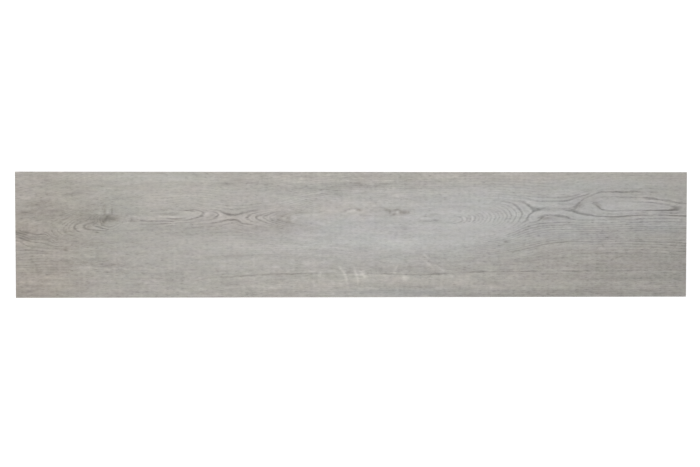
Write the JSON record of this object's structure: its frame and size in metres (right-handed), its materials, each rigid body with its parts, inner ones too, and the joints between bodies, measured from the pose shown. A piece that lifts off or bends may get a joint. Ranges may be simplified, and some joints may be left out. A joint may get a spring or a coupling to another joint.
{
  "type": "luxury vinyl tile",
  "caption": "Flat rectangular vinyl floor plank with a grey oak wood-grain face, square cut edges and a shallow bevel round the wear face.",
  "frame": {"origin": "middle of the plank's back, the face that is glued to the floor", "axes": "+X along the plank's length and its grain, +Y across its width, +Z out of its wear face"},
  "size_m": [1.22, 0.228, 0.003],
  "materials": {
    "printed_vinyl": "satin"
  },
  "bodies": {
    "root": {"vinyl_plank": "printed_vinyl"}
  },
  "joints": []
}
